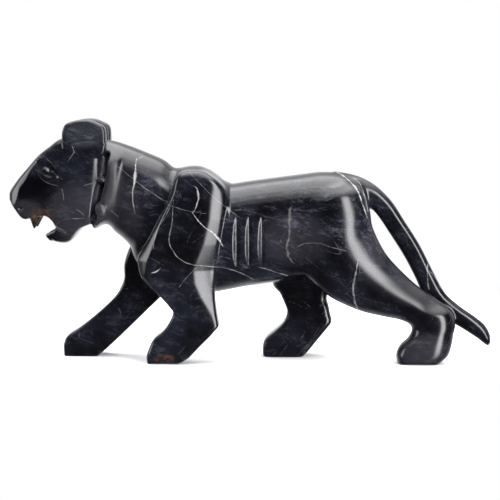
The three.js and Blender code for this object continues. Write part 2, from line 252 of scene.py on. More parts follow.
# %% Trunk, withers, neck
trunk = [
    [150, 172, 150, 78, 0, 30, 3],
    [175, 182, 175, 66.5, 0, 35, 3.3],
    [200, 177, 200, 66.5, 0, 37.5, 3.3],
    [219.5, 176.2, 219.5, 69.6, 0, 38, 3.3],
    [240, 179.2, 240, 73.7, 0, 38.5, 3.3],
    [270, 183.2, 270, 78, 0, 39, 3.3],
    [290, 185.8, 290, 80.5, 0, 40, 3.3],
    [310, 188.4, 310, 81, 0, 41, 3],
    [328, 187.8, 330, 84, 0, 41, 2.8],
    [342, 184, 343, 92, 0, 38, 2.5],
    [352, 176, 352, 108, 0, 30, 2.5],
    [359, 157, 359, 132, 0, 16, 2.3],
]
withers = [
    [166.5, 189.8, 166.5, 120, 0, 26, 3],
    [170.5, 191.7, 170.5, 110, 0, 32, 3.4],
    [180, 193.9, 180, 100, 0, 35, 3.6],
    [191, 193.7, 191, 100, 0, 36, 3.6],
    [200, 189.8, 200, 100, 0, 36, 3.6],
    [210, 182.9, 210, 105, 0, 36, 3.4],
    [219, 176.5, 219, 115, 0, 35, 3.2],
]
neck = [
    [78, 218, 80, 142, 0, 22, 2.4],
    [90, 221, 88, 138, 0, 26, 2.4],
    [104, 219.4, 97.5, 136.2, 0, 30, 2.8],
    [120.3, 214.3, 105.6, 127.4, 0, 33, 3],
    [138, 207.4, 113, 121.2, 0, 34, 3],
    [155, 199.9, 120.6, 112.5, 0, 34, 3],
    [167.5, 190.5, 127, 95, 0, 35, 3],
    [186, 184, 150, 72, 0, 36, 2.6],
    [203, 176, 175, 67, 0, 34, 2.6],
]
figure = melt(stone(sweep(trunk, bevel=0.2)), stone(sweep(withers, bevel=0.2)), 5)
neck_stone = stone(sweep(neck, bevel=0.2))
print("trunk and neck swept")

# %% [markdown]
# ## The hind legs and the tail
# The haunches swell out of the trunk with no edge at the top. The tail leaves the rump on the middle plane,
# stands free as a ground bar, swings to the near side and grows into the hock, so that nothing so thin is
# left without support.

# %% Hind legs and tail
near_hind_leg = [
    [312, 170, 336, 176, -18, 14, 2.4],
    [300, 160, 352, 169, -20, 19, 2.3],
    [293, 144, 359.2, 153, -20.5, 22, 2.3],
    [289, 124, 362.6, 137.8, -21, 23.5, 2.3],
    [289.4, 103, 369.9, 120.9, -21.5, 24, 2.3],
    [296, 86, 378.8, 106.3, -22, 24, 2.3],
    [317, 65.5, 390.6, 93.3, -23.5, 22.5, 2.3],
    [346, 51.8, 403, 81.3, -25, 21, 2.3],
    [371, 45.8, 416, 70.8, -26.5, 18.5, 2.3],
    [386, 43.2, 429, 60.4, -27.5, 17.5, 2.3],
    [396.8, 39.7, 440.5, 51.1, -28, 17, 3.2],
    [400.2, 34.2, 443.9, 39, -28.5, 17, 3.2],
    [397, 26.7, 442.2, 28, -28.5, 17.5, 3.2],
    [389, 18.7, 440.6, 18.2, -28.5, 18.5, 3.4],
    [385.3, 10.1, 436.8, 7.8, -28.5, 18.5, 3.8],
    [386.4, 0, 428.4, 0, -28.5, 18, 4.2],
]
far_hind_leg = [
    [312, 170, 336, 176, -18, 14, 2.4],
    [299, 158, 351, 169, -20, 19, 2.6],
    [287, 132, 358.5, 150, -21, 23, 2.8],
    [275, 108, 356, 120, -22, 24, 3],
    [262.6, 76.5, 327, 82, -25, 20.5, 5],
    [270, 63.9, 318, 61.5, -27, 18, 8],
    [276.3, 49.7, 319.5, 51.5, -27.5, 17.5, 10],
    [276.8, 43, 321, 43.5, -27.5, 17.5, 10],
    [273.6, 35, 322.3, 35, -27.5, 17.5, 10],
    [265.4, 27, 314.6, 24.6, -27.5, 18, 10],
    [256.6, 19.6, 306.8, 15, -27.5, 18.5, 10],
    [252.9, 12.6, 300.8, 7.6, -27.5, 19, 10],
    [252.7, 2.4, 296.5, 2.8, -27.5, 19, 10],
    [254, 0, 293.5, 0, -27.5, 18, 10],
]
tail = [
    [325, 188, 322, 160, 0, 14, 2.6],
    [343.4, 185.3, 339, 158, 0, 13, 3],
    [355, 181, 349, 156, 0, 11.5, 3.4],
    [368.2, 172.3, 359.4, 152.6, 0, 10, 5],
    [382, 158.1, 368.2, 143.6, 0, 9.5, 7],
    [394.3, 139.2, 378.6, 128.1, -1, 9, 8],
    [409.1, 115.9, 393.6, 104.7, -5, 9, 8],
    [423.4, 87.8, 405.2, 82.6, -10, 9, 8],
    [434.3, 68.6, 417, 57, -13, 9, 8],
    [449.4, 55.2, 436, 42.5, -14, 9, 8],
    [461.6, 46.8, 450, 34, -14, 8.5, 6],
    [473.2, 37.6, 465.3, 24.2, -14, 8, 4.5],
    [479, 28, 473.4, 17.8, -14, 7, 3.4],
    [480, 19.6, 477.2, 15.6, -14, 4, 2.6],
]
figure = melt(figure, stone(sweep(near_hind_leg)), 7)
figure = melt(figure, stone(sweep(mirrored(far_hind_leg), bevel=0.3)), 7)
figure = melt(figure, stone(sweep(tail, bevel=0.5)), 4)
print("hind legs and tail melted on")

# %% [markdown]
# ## The forelegs
# A foreleg starts as a flat shoulder plate, and the rear of the leg is a straight saw cut with a sharp
# corner at the wrist. The outer edges are ground off in long facets, which give the stone its bright
# streaks. The top of each plate is rubbed round before it is joined, so it domes like a muscle.

# %% Forelegs
near_foreleg = [
    [180, 191, 196, 190.5, -25, 17, 6],
    [171, 188, 209, 182, -24, 21.5, 8],
    [167, 180.5, 217.5, 173.5, -23, 23.5, 10],
    [164, 167, 218.7, 162, -23, 24, 10],
    [152.2, 142.7, 214.5, 141, -23, 24, 10],
    [140.4, 120.2, 210.8, 120, -23.5, 23.5, 10],
    [131.2, 106, 208.5, 101, -24.5, 22.5, 10],
    [131.6, 95, 207.2, 88, -25.5, 21, 10],
    [136.6, 82, 206.4, 75, -27, 19, 10],
    [152.4, 67.1, 206.8, 63, -28, 17.5, 10],
    [162.3, 55.8, 208.4, 51, -28.5, 16.5, 10],
    [165.2, 49.5, 210.8, 37.3, -28.5, 16.5, 10],
    [157, 34, 202.6, 27.9, -28.5, 17, 10],
    [146, 24.3, 192.4, 17.7, -28.5, 17.5, 10],
    [140.8, 13.4, 182, 6.8, -28.5, 18, 10],
    [139.2, 5.9, 175, 2, -28.5, 18, 10],
    [140.2, 0, 170, 0, -28.5, 17, 10],
]
far_foreleg = [
    [178, 190.5, 197, 190, -25, 17, 6],
    [167, 186, 210, 181, -24, 21.5, 8],
    [161, 177, 216, 172, -23, 23.5, 10],
    [149, 160, 215, 157, -23, 24, 10],
    [135, 140, 209, 134, -23, 24, 10],
    [120.5, 115, 190, 96, -23.5, 23.5, 10],
    [113.4, 95, 168, 76, -25, 21.5, 10],
    [112.4, 77.5, 152, 62.5, -27, 19, 10],
    [103.2, 61, 137, 48, -28.5, 17, 10],
    [86.8, 44.9, 108.3, 20, -28.5, 16.5, 10],
    [68.2, 29.8, 94.5, 7.3, -28.5, 17, 10],
    [55.5, 21.3, 91, 4.2, -28.5, 17.5, 10],
    [51, 13.5, 89, 2.6, -28.5, 18, 10],
    [51, 0, 86, 0, -28.5, 17, 10],
]


def facet(line, slope, backwards=True):
    """What grinding takes off the outer edge of a plate: from a line of x, outer y and z on its face, the
    facet falls away at this slope, backwards or forwards."""
    line = np.array(sorted(line, key=lambda p: p[2]), float)
    reach = 40
    near_end, far_end = (6, reach) if backwards else (reach, 6)
    low = (line[:, 0].min() - near_end, line[0, 2])
    high = (line[:, 0].max() + far_end, line[-1, 2])
    part, x, y, z = window(low, high, 8)
    beyond = x - np.interp(z, line[:, 2], line[:, 0])
    if not backwards:
        beyond = -beyond
    steeper = 0.8 + np.clip(beyond, 0, 20) * 0.0125  # so that the facet is a little crowned
    fall = beyond * steeper * np.sin(np.radians(slope))
    away = (np.interp(z, line[:, 2], line[:, 1]) - y) * np.cos(np.radians(slope)) - fall
    ends = np.maximum(line[0, 2] - z, z - line[-1, 2])
    return part, np.maximum(away, ends).astype(np.float32)


near_plate = stone(sweep(near_foreleg, bevel=0.14, sharp_back=True))
far_plate = stone(sweep(mirrored(far_foreleg), bevel=0.14, sharp_back=True))
near_rear = [
    (203, 47, 186), (200.3, 47, 168.4), (198.3, 47, 143), (192.5, 47, 118), (185.6, 47, 101),
    (182.7, 46.6, 92.3), (183.7, 46, 80.6), (189.5, 45.5, 66.9), (199.3, 45, 50), (207, 45, 38),
]
near_front = [
    (167, 47, 166), (155.2, 47, 138.8), (147.5, 47, 118), (141.3, 47, 102.6), (139.8, 46.6, 87.4),
    (153.8, 45.7, 67.8), (165, 45, 57), (167.5, 45, 47), (158, 45.3, 33.5), (147.5, 45.8, 23),
    (144.2, 46.5, 12), (143.5, 46.5, 0),
]
far_rear = [
    (203, 47, 186), (199, 47, 160), (193, 47, 140), (178, 47, 118), (160, 47, 100), (143, 46.4, 84),
    (122, 45.5, 61), (100, 45.2, 34), (84, 46, 12),
]
far_front = [
    (152, 47, 160), (139, 47, 140), (125, 47, 115), (118, 46.6, 95), (116, 46, 77), (107, 45.5, 61),
    (90, 45, 44), (72, 45.5, 29.8), (59.5, 46, 21), (55, 46.5, 13), (55, 46.5, 0),
]
REAR_SLOPE, FRONT_SLOPE = 22, 48  # degrees
for plate_block, rear, front in ((near_plate, near_rear, near_front), (far_plate, far_rear, far_front)):
    carve(plate_block, facet(rear, REAR_SLOPE), 2)
    carve(plate_block, facet(front, FRONT_SLOPE, backwards=False), 0.8)
    rounded(plate_block, (110, 140), (250, 250), passes=26, fade=40)
print("forelegs cut")

# %% [markdown]
# ## Chisels
# A plate is an outline in the side view with a thickness, and a ball is pressed flat and turned. A bar
# tapers along a path. Each can be added to the stone or taken out of it, on both sides at once.

# %% Chisels
def plate(outline, centre, thickness, edge=0.0):
    """An outline in x and z, this thick about a distance from the middle plane, its edges rounded."""
    corners = np.array(outline, float)
    part, x, y, z = window(corners.min(0), corners.max(0), 6)
    x, z = x[:, 0, :], z[:, 0, :]
    flat = np.full(np.broadcast(x, z).shape, np.inf)
    inside = np.zeros(flat.shape, bool)
    for (ax, az), (bx, bz) in zip(corners, np.roll(corners, -1, 0)):
        run, rise = bx - ax, bz - az
        along = np.clip(((x - ax) * run + (z - az) * rise) / (run**2 + rise**2), 0, 1)
        flat = np.minimum(flat, np.hypot(x - ax - along * run, z - az - along * rise))
        if rise != 0:
            inside ^= ((z >= az) != (z >= bz)) & (x < ax + (z - az) * run / rise)
    flat = np.where(inside, -flat, flat)[:, None, :] + edge
    thick = abs(y - centre) - thickness / 2 + edge
    inner = np.minimum(np.maximum(flat, thick), 0)
    outer = np.hypot(np.maximum(flat, 0), np.maximum(thick, 0))
    return part, (inner + outer - edge).astype(np.float32)


def ball(x, y, z, size, dip=0.0, turn=0.0):
    """A ball pressed flat. Its long axis dips towards the tail, and its face turns to look forwards."""
    reach = max(size[0], size[2]) / 2
    part, px, py, pz = window((x - reach, z - reach), (x + reach, z + reach))
    dip, turn = np.radians(dip), np.radians(turn)
    dx, dy, dz = px - x, py - y, pz - z
    dx, dy = dx * np.cos(turn) + dy * np.sin(turn), dy * np.cos(turn) - dx * np.sin(turn)
    dx, dz = dx * np.cos(dip) - dz * np.sin(dip), dx * np.sin(dip) + dz * np.cos(dip)
    a, b, c = np.array(size) / 2
    k0 = np.sqrt((dx / a) ** 2 + (dy / b) ** 2 + (dz / c) ** 2)
    k1 = np.sqrt((dx / a**2) ** 2 + (dy / b**2) ** 2 + (dz / c**2) ** 2)
    return part, (k0 * (k0 - 1) / np.maximum(k1, 1e-6)).astype(np.float32)


def bar(path, start, end=None, room=6):
    """A round bar along points of x, y and z, tapering from one radius to another."""
    path = np.array(path, float)
    radii = np.linspace(start, start if end is None else end, len(path))
    part, x, y, z = window(path.min(0)[[0, 2]] - start, path.max(0)[[0, 2]] + start, room)
    best = np.inf
    for a, b, ra, rb in zip(path, path[1:], radii, radii[1:]):
        d = b - a
        t = np.clip(((x - a[0]) * d[0] + (y - a[1]) * d[1] + (z - a[2]) * d[2]) / (d @ d), 0, 1)
        gap = np.sqrt((x - a[0] - t * d[0]) ** 2 + (y - a[1] - t * d[1]) ** 2 + (z - a[2] - t * d[2]) ** 2)
        best = np.minimum(best, gap - ra - t * (rb - ra))
    return part, best.astype(np.float32)


def skin(x, z):
    """How far the surface of the figure is from the middle plane, at a place in the side view."""
    i, k = [int(round((value - LOW[axis]) / VOXEL)) for value, axis in ((x, 0), (z, 2))]
    column = figure[i, :, k]
    inner = int(np.argmax(column < 0))
    share = column[inner - 1] / (column[inner - 1] - column[inner])
    return -float(AXES[1][inner - 1] + share * VOXEL)


def on_skin(path, lift=0.0):
    """Places in the side view as points on the surface, or this far above it."""
    return [(x, skin(x, z) + lift, z) for x, z in path]


print("chisels ready: plate, ball and bar")

# %% [markdown]
# ## Joining the body
# The neck dips into a valley before it meets the shoulder, so the valley is carved with a wide gouge before
# the plates go on. A soft crease up the flank marks off the haunch from the ribs.

# %% Join the body
figure = melt(neck_stone, figure, 6)
valley = [[166, 47, 190], [150, 46, 167], [137, 45, 143], [122, 44, 118]]
carve(figure, bar(valley, 11, room=14), 8)
figure = melt(figure, near_plate, 2)
figure = melt(figure, far_plate, 2)
crease = [[287, 51, 158], [288, 48.5, 138], [289, 47.5, 118], [291, 47.5, 96]]
carve(figure, bar(crease, 9, room=14), 9)
sole_edge = 42.0  # how far out the flat of a sole reaches, before its edge is ground off at 45 degrees
part, x, y, z = window((0, 0), (480, 12))
carve(figure, (part, ((sole_edge - y + z) / np.sqrt(2) + x * 0).astype(np.float32)), 1)
print("body joined")

# %% [markdown]
# ## The head
# The muzzle is a box with ground edges that widens to flat cheeks. The jaw is a second mass, so that the
# mouth can be cut right through between the two. The ruff is a collar of hair behind the cheeks.

# %% Head
skull = [
    [0, 166, 0.2, 160, 0, 9, 10],
    [2, 170.6, 6, 150.8, 0, 13, 10],
    [10.2, 181.5, 14.8, 140.8, 0, 16, 10],
    [20.3, 192.9, 28, 140, 0, 18.5, 10],
    [30.3, 204.2, 40.3, 138, 0, 22, 10],
    [41.2, 213, 52, 130, 0, 27, 8],
    [53.5, 221.4, 63, 127, 0, 30.5, 8],
    [70, 223, 74, 133, 0, 33, 10],
    [86, 221, 82.5, 136.5, 0, 33, 10],
    [93, 218, 88.5, 140, 0, 31, 8],
]
jaw = [
    [36.2, 124.6, 36.3, 122.3, 0, 6, 4],
    [41, 129.5, 41.5, 120.4, 0, 10, 6],
    [46, 133, 47, 118, 0, 14, 6],
    [54, 142, 57.5, 117.2, 0, 19, 6],
    [62, 152, 64.6, 122, 0, 25, 6],
    [70, 160, 72.6, 135, 0, 29, 6],
]
ruff = [
    [90, 206, 82.5, 136, 0, 28, 4],
    [94.5, 205, 86, 130.8, 0, 33, 6],
    [103, 207, 94.5, 137, 0, 35.5, 7],
    [111.5, 205, 102.5, 141, 0, 33.5, 7],
]
head = melt(stone(sweep(skull, bevel=0.17)), stone(sweep(jaw, bevel=0.25)), 4)
ruff_stone = stone(sweep(ruff))
rounded(ruff_stone, (64, 114), (128, 226), passes=6, fade=8)
figure = melt(figure, ruff_stone, 8)
figure = melt(figure, head, 2)
print("head melted on")

# %% [markdown]
# ## Ears, mouth and teeth
# The ears are thick blunt blocks. The mouth is cut through from cheek to cheek with one outline, which is
# how a saw would open it. The two upper canines and the small lower teeth are set in after the cut, because
# a taper is easier to add than to leave standing.

# %% Ears, mouth, teeth
ear_outline = [
    (58, 210), (56, 223), (56.9, 230.5), (59.6, 235.6), (65, 238.2), (73, 240), (83, 240), (91, 237.2),
    (98, 232.6), (99.4, 221.6), (98.5, 208.5), (92, 203), (70, 203),
]
add(figure, plate(bend(ear_outline), centre=25, thickness=15.5, edge=3.2), 2)
under_ear = [(60, 214), (68, 218), (78, 219.5), (89, 218.5), (97, 215)]
carve(figure, bar(on_skin(under_ear, 0.4), 1.3, 0.9), 1.0)
mouth_outline = [
    (8, 130), (14.8, 140.9), (18, 140.7), (24, 143.6), (33.6, 144.4), (36.5, 145), (41.2, 143), (45.4, 138.8),
    (47.2, 133), (45.2, 130.8), (40.3, 128.3), (36.2, 123.4), (28, 112), (8, 112),
]
carve(figure, plate(mouth_outline, centre=0, thickness=100), 1.2)
upper_canine = [[26.8, 11, 146], [25.6, 11, 132.4]]
lower_tooth = [[41.5, 6, 121.5], [37.2, 6, 125.5]]
add(figure, bar(upper_canine, 7.0, 1.2), 2)
add(figure, bar(lower_tooth, 2.6, 0.8), 2)
print("ears, mouth and teeth cut")

# %% [markdown]
# ## The face
# Hollows beside the muzzle leave the bridge of the nose standing, and the socket is a second hollow under
# the brow. The bridge's edge is ground twice, once broad and once thin, and the thin facet is what catches
# the light. Each hollow is one flattened ball, turned until its rim lies where the carver's does.

# %% Nose and sockets
bridge = np.array([27.3, 196.3]) - np.array([5, 159.1])
bridge /= np.hypot(*bridge)
profile_z = [150, 160, 166, 170.6, 181.5, 192.9, 204.2]
profile_x = [0.4, 0.2, 0, 2, 10.2, 20.3, 30.3]
wide, narrow = np.radians([24, 54])  # slopes of the broad chamfer and of the thin one on its edge
part, x, y, z = window((-2, 150), (44, 212))
inwards = (x - 28) * bridge[1] - (z - 194.2) * bridge[0]
side_face = np.interp(x + 0 * z, [2, 10, 20, 30, 41, 53], [11, 15.2, 18.3, 21.6, 26.3, 30])
from_profile = (x - np.interp(z + 0 * x, profile_z, profile_x)) * bridge[1]
corner = side_face + (inwards - from_profile) * np.tan(wide)
for slope, face, from_edge in ((wide, side_face, inwards), (narrow, corner - 2.2, from_profile)):
    chamfer = (face - y) * np.cos(slope) + from_edge * np.sin(slope)
    carve(figure, (part, chamfer.astype(np.float32)), 0.6)
carve(figure, ball(26.5, 34, 171.5, (64, 31, 32), dip=-21, turn=20.5), 3)
carve(figure, ball(41, 37.6, 187, (44, 29, 27), dip=48, turn=24), 1.5)
brow = [[33, 20.5, 200.5], [40, 23, 199.5], [47, 26, 196.5], [54, 29, 190]]
add(figure, bar(brow, 2.6, 1.6), 2)
print("nose and sockets carved")

# %% [markdown]
# ## The eye and the lips
# The eye is left proud in its socket, with a fine line for each lid. The lines at the lips and the nostril
# are drawn with a thin gouge. They could be bump in the material, but real cuts also show from the side and
# stay in the finished mesh.

# %% Eye and lips
eye_x, eye_z = 38.6, 190.3
add(figure, ball(eye_x, skin(eye_x, eye_z) - 1.3, eye_z, (8, 6.6, 7), dip=30, turn=15), 0.5)
rim = []
for angle in np.linspace(0, 2 * np.pi, 17):
    across, up = np.cos(angle), np.sin(angle)
    rim.append((eye_x + 5.1 * across + 1.2 * up, eye_z + 4.0 * up - 1.6 * across))
carve(figure, bar(on_skin(rim, 0.1), 0.8), 0.4)
upper_lid = [(32.6, 191.5), (35.5, 195.5), (40, 196.6), (45, 194), (50, 188), (54, 184)]
lower_lid = [(33.5, 187.2), (36.5, 183.8), (41, 182.4), (47, 182.6), (53, 182.4)]
socket_rim = [
    (29.5, 193.2), (31, 187), (34.3, 182), (38.5, 179.2), (43.2, 176.5), (51, 174.8), (56, 174.5),
]
for lid in (upper_lid, lower_lid, socket_rim):
    add(figure, bar(on_skin(lid, -0.3), 1.0, 0.8), 0.8)
lip = [(17, 145.6), (26, 147.6), (36.3, 149), (44.7, 152.7)]
wing = [(10.4, 148.6), (15.6, 153.8), (24.2, 157.4)]
cheek_fold = [(47, 135.5), (52, 141), (58, 143.5)]
for path in (lip, wing, cheek_fold):
    carve(figure, bar(on_skin(path, 0.2), 1.0, 0.7), 0.6)
nostril_x, nostril_z = 12.2, 151.4
carve(figure, ball(nostril_x, skin(nostril_x, nostril_z), nostril_z, (4.6, 4, 3.6)), 0.8)
print("eye and lips carved")

# %% [markdown]
# ## Behind the cheek
# A deep groove parts the head from the ruff. It is bridged by a small knob, and a lobe of hair lies on the
# ruff under it.

# %% Cheek groove and ruff
groove = [(97.5, 204), (97, 196), (96.3, 188), (95, 180), (92.6, 170), (90, 158), (87, 146), (84, 137)]
for radius, depth in ((3.4, 4.6), (4.8, 3.0)):  # a deep cut, and a wider one that opens its rims
    bed = [(x, y + radius - depth, z) for x, y, z in on_skin(groove)]
    carve(figure, bar(bed, radius, radius * 0.7), 2.2)
add(figure, ball(95.3, 30, 180.4, (9, 9, 7)), 1.2)
add(figure, ball(94.5, 32.5, 151.5, (12, 8, 17)), 1)
lobe_line = [(91, 148), (90.8, 154), (93.6, 158), (97, 157), (98, 151.5)]
carve(figure, bar(on_skin(lobe_line, 0.2), 0.9), 0.6)
print("groove cut")

# %% [markdown]
# ## Ribs
# The three ribs are straight cuts made with the rim of a grinding disc that was held a little askew. Each
# is a V, wider on its left, that runs out to a point at both ends. The keel of the V follows the skin, so
# the cuts are equally deep along the curve of the flank.

# %% Ribs
RIB_LOW, RIB_HIGH, RIB_DEPTH = 92, 149, 2.6
LEFT, RIGHT = 1.66, 1.4  # half widths of the V for each unit of depth
for rib_x in (228.2, 240.6, 253.2):
    part, x, y, z = window((rib_x - 6, RIB_LOW), (rib_x + 6, RIB_HIGH))
    up = np.linspace(RIB_LOW, RIB_HIGH, 15)
    from_middle = abs((up - RIB_LOW) / (RIB_HIGH - RIB_LOW) * 2 - 1)
    keel = np.array([skin(rib_x, place) for place in up]) - RIB_DEPTH * (1 - from_middle**3)
    above = y - np.interp(z, up, keel)
    off = x - rib_x
    sides = np.maximum((-off - above * LEFT) / np.hypot(1, LEFT), (off - above * RIGHT) / np.hypot(1, RIGHT))
    ends = np.maximum(RIB_LOW - z, z - RIB_HIGH)
    carve(figure, (part, np.maximum(sides, ends).astype(np.float32)), 0.15)
print("ribs cut")

# %% [markdown]
# ## Mesh from the block
# The surface where the distance is zero becomes a mesh of quads. It is thinned to a size that is quick to
# draw, which keeps small faces where the form bends most, and shaded smooth.

# %% Mesh
def mesh_of(block, name, triangles):
    """A smooth object from the zero surface of a block, in about this many triangles."""
    grid = openvdb.FloatGrid(3.0)
    grid.copyFromArray(np.clip(block / VOXEL, -3, 3).astype(np.float32))
    points, quads = grid.convertToQuads(0.0)
    points = to_metres(points * VOXEL + LOW)
    data = bpy.data.meshes.new(name)
    data.from_pydata(points.tolist(), [], quads.tolist())
    piece = bpy.data.objects.new(name, data)
    bpy.context.scene.collection.objects.link(piece)
    print(name, "has", len(quads), "quads before thinning")
    if len(quads) * 2 > triangles:
        thin = piece.modifiers.new("thin", "DECIMATE")
        thin.ratio = triangles / (len(quads) * 2)
        with bpy.context.temp_override(object=piece, active_object=piece, selected_objects=[piece]):
            bpy.ops.object.modifier_apply(modifier="thin")
    piece.data.shade_smooth()
    return piece


figure = polish(figure, 1)
part, _, _, z = window((0, 0), (480, 240), 20)
figure[part] = np.maximum(figure[part], -z)
tiger = mesh_of(figure, "marble_tiger", 190000)
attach(tiger, "root")
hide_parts("stone_tiger")
print("tiger has", len(tiger.data.polygons), "faces")

# %% [markdown]
# ## Arithmetic on sockets
# A material is a net of nodes. This small class lets a socket be used like a number in Python: each sign
# adds the Math node that does it, and any other node comes from one method.

# %% Sockets as numbers
class Wire:
    """A socket of the material's net. Python's arithmetic on it adds Math nodes."""

    def __init__(self, tree, socket=None):
        self.tree = tree
        self.socket = socket

    def node(self, kind, settings, sockets, output=0):
        """A node of this type, with its settings made first, then the values or links of its sockets."""
        made = self.tree.nodes.new(kind)
        for name, value in settings.items():
            if name == "curve":
                curve = made.mapping.curves[0]
                while len(curve.points) < len(value):
                    curve.points.new(0.5, 0.5)
                for point, place in zip(curve.points, value):
                    point.location = place
                made.mapping.extend = "HORIZONTAL"
                made.mapping.update()
            else:
                setattr(made, name, value)
        for name, value in sockets.items():
            if isinstance(value, Wire):
                self.tree.links.new(value.socket, made.inputs[name])
            else:
                made.inputs[name].default_value = value
        return Wire(self.tree, made.outputs[output])

    def math(self, operation, *others):
        """This socket and up to two more through a Math node."""
        sockets = dict(enumerate((self, *others)))
        return self.node("ShaderNodeMath", {"operation": operation}, sockets)

    def __add__(self, other):
        return self.math("ADD", other)

    __radd__ = __add__

    def __mul__(self, other):
        return self.math("MULTIPLY", other)

    __rmul__ = __mul__

    def __sub__(self, other):
        return self.math("SUBTRACT", other)

    def __rsub__(self, other):
        return self.node("ShaderNodeMath", {"operation": "SUBTRACT"}, {0: other, 1: self})

    def __truediv__(self, other):
        return self.math("DIVIDE", other)

    def __abs__(self):
        return self.math("ABSOLUTE")

    def larger(self, other):
        return self.math("MAXIMUM", other)

    def ramp(self, start, end):
        """Zero at the start, one at the end, eased between; the start may be the larger number."""
        settings = {"interpolation_type": "SMOOTHSTEP"}
        return self.node("ShaderNodeMapRange", settings, {0: self, 1: start, 2: end, 3: 0.0, 4: 1.0})

    def mix(self, low, high, over=False):
        """From one colour to another as this socket goes from 0 to 1, or over 1 too."""
        settings = {"data_type": "RGBA", "clamp_factor": not over}
        return self.node("ShaderNodeMix", settings, {0: self, 6: low, 7: high}, output=2)


print("sockets can be added, subtracted, multiplied and divided")

# %% [markdown]
# ## The stone's own coordinates
# Veins are sheets of mineral that run right through a block, so they are worked out in the block's own
# space and not on its skin. Cut in any direction, they then match up from side to side. The coordinates
# are brought back to the steps of the drawing, so that a vein can be placed by reading it off the grid.

# %% Coordinates of the stone
marble = bpy.data.materials.new("black_marble")
marble.use_nodes = True
tree = marble.node_tree
net = Wire(tree)
place = net.node("ShaderNodeTexCoord", {}, {}, output=3)
steps = net.node(
    "ShaderNodeVectorMath",
    {"operation": "MULTIPLY_ADD"},
    {0: place, 1: tuple(DRAWN / box_size), 2: tuple(-box_low / box_size * DRAWN - np.array([0, 47, 0]))},
)
gx, gy, gz = [net.node("ShaderNodeSeparateXYZ", {}, {0: steps}, output=k) for k in range(3)]


def noise(size, detail=3.0, roughness=0.55, twist=0.0, at=0.0, stretch=1.0, tilt=0.0):
    """Noise between 0 and 1 whose lumps are about this many steps wide. They can be drawn out along a
    line that falls towards the tail by the tilt, in degrees."""
    turn = {"Vector": steps, "Angle": float(np.radians(-tilt))}
    turned = net.node("ShaderNodeVectorRotate", {"rotation_type": "Y_AXIS"}, turn)
    moved = net.node(
        "ShaderNodeVectorMath",
        {"operation": "MULTIPLY_ADD"},
        {0: turned, 1: (1 / size / stretch, 1 / size, 1 / size), 2: (at, at * 0.7, -at)},
    )
    sockets = {"Vector": moved, "Scale": 1.0, "Detail": detail, "Roughness": roughness, "Distortion": twist}
    return net.node("ShaderNodeTexNoise", {}, sockets)


sway = (noise(30, detail=2, at=3.1) - 0.5) * 8 + (noise(5, detail=4, roughness=0.65, at=8.2) - 0.5) * 5
print("coordinates set up")

# %% [markdown]
# ## The white veins
# Veins are cracks that calcite has filled. A noise could scatter them, but the large ones are what makes
# this block known, so each is a line read off the side view, with its width at each point. A curve node
# holds the line and a second one its width. The sheet behind it leans a little through the stone, so that
# the far side shows the same vein in another place. Noise then sways each line and breaks up its width.

# %% Veins
thickening = noise(7, detail=4, roughness=0.65, at=12.0).ramp(0.34, 0.64) * 0.85 + 0.12
NEAR_FACE = 42  # steps from the middle plane to the face that the lines were read on
HAIR = 0.14  # half width that even the finest vein keeps


def vein(line, strength, lean=0.0, wobble=1.0):
    """How strongly a vein shows, from points of x, z and half width, read along its longer direction."""
    points = np.array(line, float)
    upright = np.ptp(points[:, 1]) > np.ptp(points[:, 0])
    run, off = (1, 0) if upright else (0, 1)
    points = points[np.argsort(points[:, run])]
    first, last = points[0, run], points[-1, run]
    low, high = points[:, off].min() - 1, points[:, off].max() + 1
    widest = points[:, 2].max()
    along = ((gz if upright else gx) - first) / (last - first)
    share = (points[:, run] - first) / (last - first)
    path = list(zip(share, (points[:, off] - low) / (high - low)))
    width = list(zip(share, points[:, 2] / widest))
    course = net.node("ShaderNodeFloatCurve", {"curve": path}, {1: along})
    half = (net.node("ShaderNodeFloatCurve", {"curve": width}, {1: along}) * widest).larger(0.02)
    ends = along.ramp(-0.03, 0.02) * along.ramp(1.03, 0.98)
    side = (gx if upright else gz) - (course * (high - low) + low)
    side = side - (gy + NEAR_FACE) * lean - sway * (0.3 * wobble)
    shown = (abs(side) / (half * thickening + HAIR)).ramp(1.4, 0.1)
    return shown * ends * (thickening * 0.6 + 0.4) * strength


